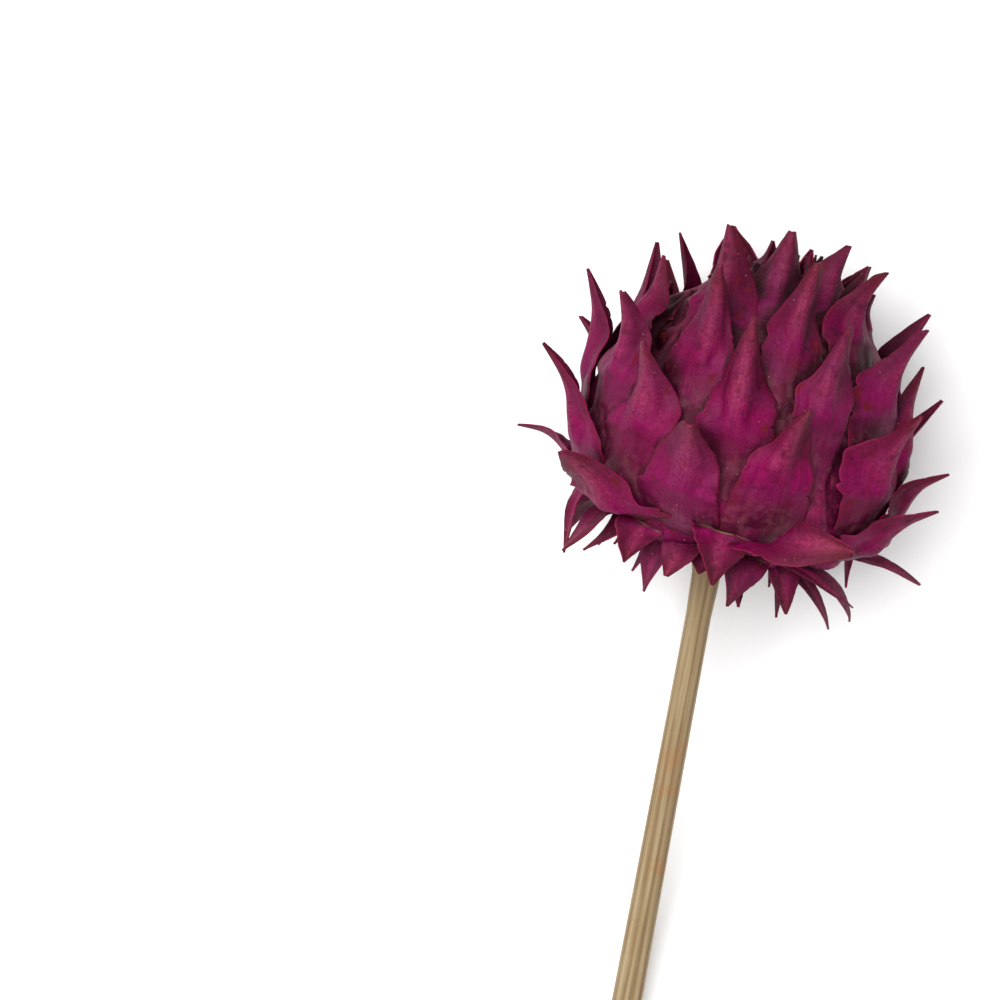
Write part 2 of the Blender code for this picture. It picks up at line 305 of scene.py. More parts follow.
    def relief(self, u: np.ndarray, s: np.ndarray) -> np.ndarray:
        """How far the dried blade stands out of its own smooth form.

        Args:
            u: Places across the blade, -1 to 1.
            s: Places along it.

        Returns:
            The height of the relief in metres, outwards.
        """
        draw = np.random.default_rng(self.RELIEF_SEED + self.index)
        size = self.half_width / 0.012
        out = np.zeros(np.broadcast(u, s).shape)
        calm = 1 - 0.6 * eased(s, 0.35, 0.6)
        for _ in range(9):
            cu, cs = draw.uniform(-0.8, 0.8), draw.uniform(-0.3, 0.75)
            ru, rs = draw.uniform(0.16, 0.45), draw.uniform(0.05, 0.16)
            tall = draw.uniform(-0.6, 0.5) * MM * size
            out = out + calm * tall * np.exp(-(((u - cu) / ru) ** 2) - ((s - cs) / rs) ** 2)
        for side in (-1, 1):
            edge = eased(side * u, 0.45, 1.0)
            lift = draw.uniform(0.0, 0.9) * MM * size * (1 - eased(s, 0.25, 0.5)) * eased(s, -0.3, 0.0)
            phase = draw.uniform()
            wave = draw.uniform(0.12, 0.4) * MM * size * np.sin(2 * math.pi * (s * draw.uniform(2.4, 4.6) + phase))
            out = out + edge * (lift + wave * (1 - eased(s, 0.3, 0.6)))
            dimple = draw.uniform(0.3, 1.2) * MM * size * np.exp(-(((side * u - 0.46) / 0.2) ** 2))
            out = out - dimple * np.exp(-(((s - draw.uniform(0.16, 0.3)) / 0.13) ** 2))
        pleats = np.sin(2 * math.pi * (u * draw.uniform(2.2, 3.4) + draw.uniform() + 0.3 * s))
        return out + 0.07 * MM * size * pleats * (1 - eased(s, 0.55, 0.95))

    def tilt(self, t: np.ndarray, s: np.ndarray, width: np.ndarray, radius: np.ndarray, side: int) -> np.ndarray:
        """How far the blade has turned back from its midrib, across one side of it.

        Low on the blade it follows the globe. A keel rises along the midrib, and the claw is rolled round it.

        Args:
            t: Places across, 0 at the midrib to 1 at the margin.
            s: Places along it.
            width: The half width at each place along.
            radius: How far the midrib is from the head's axis.
            side: 0 for the left side, 1 for the right.

        Returns:
            The angle at each place.
        """
        draw = np.random.default_rng(self.TILT_SEED + 2 * self.index + side)
        keel_height, keel_place = draw.uniform(0.55, 0.8), draw.uniform(0.3, 0.42)
        closed = math.radians(draw.uniform(62, 84))
        flare = draw.uniform(0.05, 0.4)
        loose = math.radians(draw.uniform(-12, 46))
        keel_height = keel_height * (0.4 + 0.6 * self.clawed)
        closed = closed * self.clawed + loose * (1 - self.clawed)
        flare = 0.0 if self.hangs else flare
        rolled = eased(s, 0.25, 0.8)
        follow = width / (0.92 * np.maximum(radius, 8 * MM)) * t * (1 - rolled)
        keel = t / keel_place * np.exp(0.5 * (1 - (t / keel_place) ** 2))
        keel = keel * keel_height * eased(s, 0.05, 0.4) * (1 - eased(s, 0.45, 0.8))
        pillow = 0.0 if self.hangs else 0.42 * t**1.4 * eased(s, -0.4, 0.0) * (1 - eased(s, 0.1, 0.4))
        margin = -flare * eased(t, 0.7, 1.0) * eased(s, -0.2, 0.1) * (1 - eased(s, 0.25, 0.5))
        return follow + keel + pillow + margin + closed * rolled * (1 - (1 - t) ** 1.7)

    def section(self, u: np.ndarray, s: np.ndarray, radius: np.ndarray) -> tuple[np.ndarray, ...]:
        """The blade's cross-sections, worked out from the midrib to each margin.

        Args:
            u: Places across, -1 to 1, in a row with one at 0.
            s: Places along it, in a column.
            radius: How far the midrib is from the head's axis, in a column.

        Returns:
            How far each point is across, how far behind the midrib, and the blade's angle there.
        """
        half = u.shape[1] // 2
        step = np.arange(1, half + 1)[None, :] / half
        sides = []
        for side in (0, 1):
            reach = self.outline(s, side)
            slope = self.tilt(step - 0.5 / half, s, reach, radius, side)
            width = reach / np.mean(np.cos(slope), axis=1, keepdims=True)
            across = np.cumsum(width / half * np.cos(slope), axis=1)
            behind = np.cumsum(width / half * np.sin(slope), axis=1)
            sides.append((across, behind, self.tilt(step, s, reach, radius, side)))
        zero = np.zeros_like(s)
        (la, lb, lt), (ra, rb, rt) = sides
        return (
            np.concatenate([-la[:, ::-1], zero, ra], axis=1),
            np.concatenate([lb[:, ::-1], zero, rb], axis=1),
            np.concatenate([-lt[:, ::-1], zero, rt], axis=1),
        )

    def surface(self, u: np.ndarray, s: np.ndarray) -> np.ndarray:
        """The blade's middle surface, upright.

        Args:
            u: Places across, -1 to 1, in a row with one at 0.
            s: Places along, -0.5 to 1, in a column.

        Returns:
            A grid of points, one row for each place along.
        """
        radius, height, lean = self.centre_line(s)
        beyond = np.maximum(0.0, s)
        azimuth = self.azimuth + self.sway * beyond**1.2
        zero = np.zeros_like(azimuth)
        out = np.stack([np.sin(azimuth), -np.cos(azimuth), zero], axis=-1)
        side = np.stack([np.cos(azimuth), np.sin(azimuth), zero], axis=-1)
        up = np.array([0.0, 0.0, 1.0])
        lean = lean[..., None]
        grow = np.sin(lean) * out + np.cos(lean) * up
        face = np.cos(lean) * out - np.sin(lean) * up
        turn = (self.twist * beyond)[..., None]
        turned_face = np.cos(turn) * face + np.sin(turn) * np.cross(grow, face)
        turned_side = np.cos(turn) * side + np.sin(turn) * np.cross(grow, side)

        across, behind, angle = self.section(u, s, radius)
        rise = 0.0 if self.hangs else 0.25 * self.half_width
        rise = rise * eased(s, -0.2, 0.2) * (1 - eased(s, 0.2, 0.75))
        middle = radius[..., None] * out + height[..., None] * up + rise[..., None] * turned_face
        outward = np.sin(angle)[..., None] * turned_side + np.cos(angle)[..., None] * turned_face
        sheet = middle + across[..., None] * turned_side - behind[..., None] * turned_face
        return sheet + self.relief(u, s)[..., None] * outward


# What each number of a measured bract is, and its unit. None there, or a row's end, leaves the average.
MEASURES = {
    "azimuth": 1, "lean": 1, "free": MM, "seat": MM, "half_width": MM, "sway": 1, "twist": 1, "stiffness": 1,
    "held": MM,
}
MEASURED = {
    -39: (-52.5, 157, 14.7, 16.8),
    -37: (21.7, 155.1, 15.6, 16.6),
    -34: (-29.6, 177.5, 17.2, 25, 5.6, -2.3, 35.2, 0.09),
    -32: (58.9, 169.6, 17, 19.9, 3.2),
    -29: (-1.1, 143, 8.7, 27.3),
    -27: (41.5, 157.2, 21.1, 27.5, 2.8, 51.9, 29.7, 0.05),
    -26: (-47.2, 139.3, 15.5, 29.9, 4.2),
    -24: (39.4, 175.1, 14.5, 28, 4.3, 12.8, 19.7, 0.05),
    -21: (-13.6, 162.6, 12.4, 30.1, 4.6, -2.9, 7.9, 0.12),
    -19: (50.6, 146.7, 22.8, 30.7, 2.9, 57, 35.5, 0.05),
    -18: (-60.9, 152.6, 18.7, 33.4, 4.6),
    -16: (16.8, 159, 17.2, 29.5, 6.4, -4.9, -33.7, 0.18),
    -14: (112.2, 171.9, 15.4, 37.9, 4),
    -13: (-30.5, 186, 15.3, 34.8, 4.9, -6.4, -77.7, 0.18),
    -11: (38.1, 141, 16, 30.1, 2.3, 44, 41.1, 0.15),
    -10: (-78.4, 180.2, 22.5, 38.3, 3.8),
    -8: (1.3, 184.6, 18.8, 42.9, 6.3, 2.4, -38.5, 0.13),
    -6: (73, 117.8, 21.7, 40.3, 5, 24, 43.6, 0.15),
    -5: (-41.7, 66.3, 26, 41.3, 16.6, -2.5, 44.6, 0.17),
    -4: (None, 148, 19, None, None, None, 4),
    -3: (12.1, 100.8, 32.7, 40.3, 12, 20.9, 103.8, 0.51),
    -2: (-98.4, 105.2, 24.7, 45.3),
    -1: (68.1, 55.9, 25.4, 42.9, 12.8, -0.3, -5.6, 0.4),
    0: (-14.5, 55.7, 29.9, 50.1, 11.2, 1.9, 0.7),
    2: (80, 57.5, 25.2, 51.3, None, -6),
    3: (-65.7, 55.1, 31.4, 51.9, 12.3, -10.6, -24.1, 0.47),
    5: (12.8, 53.8, 33.3, 56.7, 12.8, 2, 4),
    7: (116.6, 32.5, 31.2, 56.6, 7.3, -2.6, 28.3, 0.26),
    8: (-35.4, 39.6, 30.5, 60.8, 13.2, 1.5, -6),
    10: (58.9, 51, 36.3, 57.9, 13, -14.2, None, 0.37),
    13: (-4, 24.5, 35.6, 66.8, 13.8, -1, 3),
    15: (75.8, 3.5, 31.6, 63.2),
    16: (-56.6, 44.7, 31.8, 71.4),
    18: (26.1, 26.3, 31.7, 74.9, 12.4, 0, -4),
    19: (-111.1, 8.6, 32.5, 75.2),
    20: (114.3, 35.1, 32.7, 77.1),
    21: (-22, 32.9, 35, 80.4, 12, 1, 9.5),
    22: (-159.1, 39.3, 33.8, 88.2, 10.7, 3.2, -48.8, 0.44),
    23: (63.5, 38.9, 32, 79.3, 10.7, -6.8, None, 0.38),
    24: (-71, 1.1, 22.4, 86),
    25: (148.1, 34.3, 30.8, 88.4, 12),
    26: (13, 24.9, 32.6, 90.5, 11, 0, 8.9),
    27: (-146.3, 8, 16.2, 91.3),
    28: (78, 21.3, 13.5, 103.3, 7, -4.9, -9.4, 0.34, 4),
    29: (-32.5, 25.5, 32, 95.4, 11.5, 0),
    30: (166.4, 36, 26.4, 94.8),
    31: (50.6, 44.3, 30.2, 98.5, 10.5, -1.4, None, 0.39),
    32: (-142.8, 8.7, 22.8, 90.9, 6.7, 25.9, -2.5, 0.27),
    33: (128.5, 20.4, 21.4, 100.2),
    34: (-1.1, 23.3, 29.5, 103, 10.5, 0),
    35: (-170.4, 22.9, 17.7, 102.4),
    36: (70.2, 20.9, 20.5, 104.4),
    37: (-48, 10.3, 13.7, 107.1, 5, None, None, None, 3),
    38: (150.2, 28.5, 20.6, 105),
    39: (35.1, 14.1, 26.7, 104.7, 11.2, 17.5, 5.9, 0.45),
    40: (-124.1, 4.5, 7.9, 115.6, None, None, None, None, 3),
    41: (107, 14.3, 17.8, 112.5),
    42: (-27, 7.7, 7.6, 114.6),
    43: (172.6, 11.3, 18.5, 115.2, 6),
    45: (-83.6, 9.1, 5.2, 120.5, None, None, None, None, 2),
    46: (142.4, -0.4, 9, 120.5),
    48: (-138.2, 1.4, 12.6, 120.3, 5),
    50: (-50.7, 6.7, 3.7, 125),
    53: (-107.4, 3.2, 4.9, 127.2),
}

# How far their left and right margins reach at the places of Bract.REACH_AT, in percent of the half width.
MEASURED_REACHES = {
    -5: ((71, 80, 89, 93, 87, 75, 59, 46, 30, 16, 6), (73, 87, 95, 90, 74, 57, 45, 36, 25, 14, 6)),
    -3: ((57, 47, 41, 52, 70, 80, 81, 71, 44, 20, 7), (61, 55, 50, 53, 55, 52, 40, 30, 20, 12, 5)),
    -1: ((75, 95, 116, 121, 107, 85, 61, 43, 27, 14, 5), (57, 47, 40, 47, 54, 52, 37, 24, 16, 10, 4)),
    0: ((150, 142, 122, 104, 86, 86, 74, 52, 36, 20, 6), (84, 88, 90, 84, 76, 78, 65, 40, 25, 17, 5)),
    3: ((64, 71, 80, 87, 84, 71, 48, 30, 19, 10, 4), (68, 83, 99, 105, 96, 78, 50, 30, 18, 10, 4)),
    5: ((61, 69, 61, 58, 61, 56, 27, 17, 11, 5, 4), (90, 100, 90, 81, 89, 71, 55, 41, 26, 12, 3)),
    7: ((62, 70, 80, 83, 75, 64, 50, 36, 22, 11, 4), (65, 78, 86, 80, 63, 50, 41, 32, 19, 9, 3)),
    8: ((104, 117, 104, 83, 101, 111, 80, 52, 31, 21, 3), (48, 53, 60, 63, 73, 73, 47, 29, 17, 7, 3)),
    10: ((69, 77, 90, 98, 105, 99, 53, 24, 15, 9, 3), ()),
    13: ((45, 50, 59, 64, 56, 52, 38, 29, 17, 8, 3), (67, 76, 82, 82, 73, 74, 45, 25, 17, 8, 3)),
    18: ((43, 49, 56, 60, 56, 60, 31, 16, 9, 5, 3), (55, 62, 68, 70, 66, 83, 75, 49, 29, 19, 3)),
    21: ((62, 70, 76, 82, 74, 63, 50, 36, 24, 13, 3), (48, 54, 62, 67, 64, 57, 36, 22, 15, 7, 4)),
    22: ((62, 58, 56, 66, 80, 89, 92, 79, 47, 18, 4), (64, 63, 60, 57, 53, 50, 49, 43, 30, 14, 4)),
    23: ((103, 115, 127, 130, 118, 97, 48, 27, 18, 13, 3), ()),
    25: ((70, 80, 90, 95, 95, 90, 80, 62, 40, 18, 4), ()),
    26: ((54, 61, 69, 73, 67, 66, 44, 26, 15, 6, 4), (53, 60, 67, 70, 65, 60, 50, 42, 30, 19, 3)),
    29: ((30, 32, 36, 42, 50, 52, 50, 40, 24, 12, 4), ()),
    31: ((65, 74, 83, 89, 99, 83, 57, 32, 20, 15, 4), ()),
    32: ((70, 73, 78, 83, 80, 72, 58, 42, 25, 12, 4), (66, 60, 50, 42, 34, 33, 38, 36, 24, 11, 4)),
    39: ((73, 76, 79, 82, 78, 72, 64, 49, 29, 13, 4), (67, 61, 58, 63, 65, 61, 47, 32, 20, 11, 4)),
}


@dataclass(frozen=True)
class Spiral:
    """The golden-angle spiral that places every bract, with how they change along it.

    The tables hold (index, value) pairs, and those of the inner bracts (share of them, value) pairs.
    """

    golden_turn: float = 137.508
    start: float = -17.0
    last: int = 53
    seed: int = 4107
    seat: Pairs = (
        (-41, 14), (-35, 21), (-26, 29), (-16, 35.5), (-8, 42.5), (-5, 44), (0, 50), (5, 56.5), (13, 69),
        (18, 75), (26, 91), (34, 103), (44, 116), (54, 125),
    )
    held: Pairs = ((-35, 3), (-8, 7), (-3, 10), (0, 14), (5, 15), (13, 14), (34, 11), (54, 7))
    free: Pairs = (
        (-41, 10), (-35, 12), (-26, 15), (-16, 18.5), (-8, 20), (-4, 24), (0, 27), (5, 31), (13, 35.5),
        (24, 34), (30, 29), (36, 24), (44, 15), (54, 8),
    )
    half_width: Pairs = (
        (-41, 3), (-35, 3.4), (-26, 4.6), (-16, 6), (-8, 8), (-3, 9), (0, 11.5), (5, 13), (14, 13),
        (20, 11.8), (26, 10.4), (34, 8.6), (44, 5), (54, 2.8),
    )
    tip_lean: Pairs = (
        (-35, 158), (-20, 158), (-8, 176), (-6, 104), (-3, 84), (0, 62), (5, 50), (13, 32), (24, 30),
        (34, 20), (54, 0),
    )
    lean_spread: Pairs = ((-35, 22), (-8, 12), (0, 9), (54, 6))
    stiffness: Pairs = ((-35, 0.12), (-8, 0.14), (-3, 0.34), (5, 0.42))
    inner_count: int = 82
    inner_seat: Pairs = ((0.0, 0.12), (0.27, 0.36), (0.5, 0.55), (0.7, 0.76), (1.0, 0.955))
    inner_free: Pairs = ((0.0, 32), (0.27, 30), (0.5, 27), (0.7, 22), (1.0, 9))
    inner_half_width: Pairs = ((0.0, 11), (0.27, 13), (0.5, 11.5), (0.7, 9.5), (1.0, 4))
    inner_stand: Pairs = ((0.0, 0), (0.26, 1), (0.42, 14), (1.0, 15))
    inner_held: float = 6.0
    inner_stiffness: float = 0.38
    inner_radius: float = 0.93
    inner_rise: float = 0.9

    @staticmethod
    def measured(index: int) -> dict[str, object]:
        """What was measured of a bract, to take the place of the averages.

        Args:
            index: Its place, from the stem up.

        Returns:
            The values by name, with none for a bract that was not measured.
        """
        numbers = zip(MEASURES.items(), MEASURED.get(index, ()))
        found = {name: number * unit for (name, unit), number in numbers if number is not None}
        for side, percents in zip(("left", "right"), MEASURED_REACHES.get(index, ())):
            found[side] = tuple(percent / 100 for percent in percents)
        return found

    def draws(self, index: int) -> random.Random:
        """The random draws of one bract."""
        return random.Random(self.seed + 7919 * index)

    def bract(self, index: int, globe: Globe) -> Bract:
        """The bract at this place on the spiral, with its own small departures from the average.

        Args:
            index: Its place, from the stem up.
            globe: What it grows on.

        Returns:
            The bract.
        """
        if index > self.last:
            return self.inner(index, globe)
        draw = self.draws(index)
        spread = along(self.lean_spread, index)
        values = {
            "azimuth": self.start - index * self.golden_turn + draw.uniform(-3, 3),
            "seat": along(self.seat, index) * MM + draw.uniform(-0.8, 0.8) * MM,
            "held": along(self.held, index) * MM,
            "free": along(self.free, index) * MM * draw.uniform(0.92, 1.08),
            "half_width": along(self.half_width, index) * MM * draw.uniform(0.94, 1.06),
            "lean": along(self.tip_lean, index) + draw.uniform(-spread, spread),
            "stiffness": along(self.stiffness, index),
            "sway": draw.uniform(-7, 7),
            "twist": draw.uniform(-14, 14),
        }
        values.update(self.measured(index))
        for name in ("azimuth", "lean", "sway", "twist"):
            values[name] = math.radians(values[name])
        return Bract(index=index, globe=globe, **values)

    def inner(self, index: int, globe: Globe) -> Bract:
        """One of the inner bracts, which close over the heart under the outer ones.

        Args:
            index: Its place, counted on from the outer ones.
            globe: What the outer ones grow on.

        Returns:
            The bract.
        """
        draw = self.draws(index)
        under = replace(globe, radius=self.inner_radius * globe.radius, rise=self.inner_rise * globe.rise)
        whole = float(under.outline()[0][-1])
        share = (index - self.last) / self.inner_count
        seat = whole * along(self.inner_seat, share)
        free = along(self.inner_free, share) * MM * draw.uniform(0.92, 1.1)
        azimuth = -index * self.golden_turn + draw.uniform(-4, 4)
        flat_lean = float(under.at(np.array(min(seat + 0.7 * free, 0.985 * whole)))[2])
        lean = flat_lean + math.radians(along(self.inner_stand, share) * draw.uniform(0.55, 1.45))
        return Bract(
            index=index, globe=under, azimuth=math.radians(azimuth), seat=seat, held=self.inner_held * MM, free=free,
            half_width=along(self.inner_half_width, share) * MM, lean=lean, stiffness=self.inner_stiffness,
            sway=math.radians(draw.uniform(-8, 8)), twist=math.radians(draw.uniform(-12, 12)),
        )


class Sheet:
    """A node tree being laid out, with short ways to add and join nodes."""

    def __init__(self, tree: bpy.types.NodeTree) -> None:
        """Takes the empty tree to lay out."""
        self.tree = tree

    def add(self, kind: str, **settings: object) -> bpy.types.Node:
        """Adds a node.

        Args:
            kind: The node's type.
            **settings: Its properties.

        Returns:
            The node.
        """
        node = self.tree.nodes.new(kind)
        for name, value in settings.items():
            setattr(node, name, value)
        return node

    def feed(self, socket: Socket, value: object) -> None:
        """Joins a socket to another, or sets its value.

        Args:
            socket: The input.
            value: An output, or a plain value.
        """
        if isinstance(value, Socket):
            self.tree.links.new(value, socket)
        elif isinstance(value, tuple) and socket.type == "RGBA":
            socket.default_value = (*value, 1.0)
        else:
            socket.default_value = value

    def fill(self, node: bpy.types.Node, *values: object) -> Socket:
        """Feeds a node's inputs in their order.

        Args:
            node: The node.
            *values: What goes into them.

        Returns:
            The node's first output.
        """
        for socket, value in zip(node.inputs, values):
            self.feed(socket, value)
        return node.outputs[0]

    def math(self, operation: str, first: object, second: object = 0.0) -> Socket:
        """One operation on two values."""
        return self.fill(self.add("ShaderNodeMath", operation=operation), first, second)

    def both(self, first: object, second: object) -> Socket:
        """Two masks or values multiplied."""
        return self.math("MULTIPLY", first, second)

    def span(self, value: object, low: float, high: float, start: float = 0.0, end: float = 1.0) -> Socket:
        """A smooth change from start to end as a value goes from low to high."""
        return self.fill(self.add("ShaderNodeMapRange", interpolation_type="SMOOTHSTEP"), value, low, high, start, end)

    def vector(self, x: object, y: object, z: object) -> Socket:
        """A vector from three values."""
        return self.fill(self.add("ShaderNodeCombineXYZ"), x, y, z)

    def mix(self, share: object, first: object, second: object, blend: str = "MIX") -> Socket:
        """A mix of two colours.

        Args:
            share: How much of the second.
            first: The first colour.
            second: The second colour.
            blend: How they mix.

        Returns:
            The mixed colour.
        """
        node = self.add("ShaderNodeMix", data_type="RGBA", blend_type=blend)
        self.feed(node.inputs["Factor"], share)
        self.feed(node.inputs[6], first)
        self.feed(node.inputs[7], second)
        return node.outputs[2]

    def shade(self, colour: object, value: object, low: float, high: float, dark: float, light: float) -> Socket:
        """A colour made darker or lighter, by dark to light times, as a value goes from low to high."""
        share = self.span(value, low, high, dark, light)
        return self.mix(1.0, colour, self.vector(share, share, share), "MULTIPLY")

    def noise(self, where: object, scale: float, detail: float = 2.0, rough: float = 0.5) -> Socket:
        """Smooth noise about 0.5.

        Args:
            where: The coordinates.
            scale: How many features to the unit.
            detail: How many finer layers.
            rough: How strong the finer layers are.

        Returns:
            The noise.
        """
        node = self.add("ShaderNodeTexNoise")
        for label, value in (("Vector", where), ("Scale", scale), ("Detail", detail), ("Roughness", rough)):
            self.feed(node.inputs[label], value)
        return node.outputs["Fac"]

    def spots(self, where: object, scale: float) -> Socket:
        """The distance to the nearest of many scattered points.

        Args:
            where: The coordinates.
            scale: How many points to the unit.

        Returns:
            The distance, in units of the spacing.
        """
        node = self.add("ShaderNodeTexVoronoi")
        self.feed(node.inputs["Vector"], where)
        self.feed(node.inputs["Scale"], scale)
        return node.outputs["Distance"]

    def crease(self, value: object, width: float) -> Socket:
        """Thin lines, as wide as this in the noise's units, where noise crosses its middle."""
        return self.span(self.math("ABSOLUTE", self.math("SUBTRACT", value, 0.5)), 0.0, width, 1.0, 0.0)

    def ramp(self, value: object, stops: tuple[tuple[float, Colour], ...]) -> Socket:
        """A colour that changes with a value.

        Args:
            value: What drives it, 0 to 1.
            stops: (place, colour) pairs with rising places.

        Returns:
            The colour.
        """
        node = self.add("ShaderNodeValToRGB")
        elements = node.color_ramp.elements
        while len(elements) < len(stops):
            elements.new(0.5)
        for element, (place, colour) in zip(elements, stops):
            element.position = place
            element.color = (*colour, 1.0)
        return self.fill(node, value)

    def object_place(self) -> Socket:
        """Where a point is in its object's own coordinates."""
        return self.add("ShaderNodeTexCoord").outputs["Object"]

    def attribute(self, label: str) -> Socket:
        """A number kept on the mesh."""
        return self.add("ShaderNodeAttribute", attribute_name=label).outputs["Fac"]

    def parts(self, vector: Socket) -> bpy.types.bpy_prop_collection:
        """The x, y and z of a vector.

        Args:
            vector: The vector.

        Returns:
            Three outputs, by number.
        """
        node = self.add("ShaderNodeSeparateXYZ")
        self.fill(node, vector)
        return node.outputs

    def uv(self, layer: str) -> bpy.types.bpy_prop_collection:
        """The places across and along in a UV map."""
        return self.parts(self.add("ShaderNodeUVMap", uv_map=layer).outputs[0])

    def grain(self, group: bpy.types.NodeTree, *values: object) -> bpy.types.bpy_prop_collection:
        """Adds the shared plant grain.

        Args:
            group: The grain's group.
            *values: The places across and along, a seed and how many fibres there are across.

        Returns:
            Its outputs, by name.
        """
        node = self.add("ShaderNodeGroup", node_tree=group)
        self.fill(node, *values)
        return node.outputs


class Coat(Sheet):
    """The node tree of a new material, with its shader."""

    def __init__(self, name: str) -> None:
        """Makes the material.

        Args:
            name: Its name.
        """
        self.material = bpy.data.materials.new(name)
        self.material.use_nodes = True
        super().__init__(self.material.node_tree)
        self.shader = self.tree.nodes["Principled BSDF"]

    def give(self, label: str, value: object) -> None:
        """Feeds one of the shader's inputs."""
        self.feed(self.shader.inputs[label], value)

    def emboss(self, height: Socket, strength: float, distance: float) -> None:
        """Gives the surface a fine relief.

        Args:
            height: The relief, about 0 to 1.
            strength: How strongly it shows.
            distance: How tall it is.
        """
        bump = self.add("ShaderNodeBump")
        for label, value in (("Strength", strength), ("Distance", distance), ("Height", height)):
            self.feed(bump.inputs[label], value)
        self.give("Normal", bump.outputs["Normal"])


@dataclass(frozen=True)
class GrainEffect:
    """Fine lengthwise fibres and a dry, dusty grain, for bracts and stem alike."""

    name: str = "dry plant grain"
    takes: tuple[str, ...] = ("Across", "Along", "Seed", "Fibres")
    gives: tuple[str, ...] = ("Fibre", "Grain", "Height")

    def build(self) -> bpy.types.NodeTree:
        """Makes the group.

        Returns:
            The group: Fibre and Grain about 0.5, and Height for a bump.
        """
        group = bpy.data.node_groups.new(self.name, "ShaderNodeTree")
        for way, labels in (("INPUT", self.takes), ("OUTPUT", self.gives)):
            for label in labels:
                group.interface.new_socket(name=label, in_out=way, socket_type="NodeSocketFloat")
        sheet = Sheet(group)
        given = sheet.add("NodeGroupInput").outputs
        lane = sheet.both(given["Across"], given["Fibres"])
        where = sheet.vector(lane, sheet.both(given["Along"], 2.2), sheet.both(given["Seed"], 91.7))
        fibre = sheet.noise(where, 1.0, 3.0, 0.62)
        grain = sheet.noise(sheet.object_place(), 2100.0, 2.0, 0.6)
        height = sheet.math("ADD", sheet.both(fibre, 0.75), sheet.both(grain, 0.35))
        for socket, value in zip(sheet.add("NodeGroupOutput").inputs, (fibre, grain, height)):
            sheet.feed(socket, value)
        return group


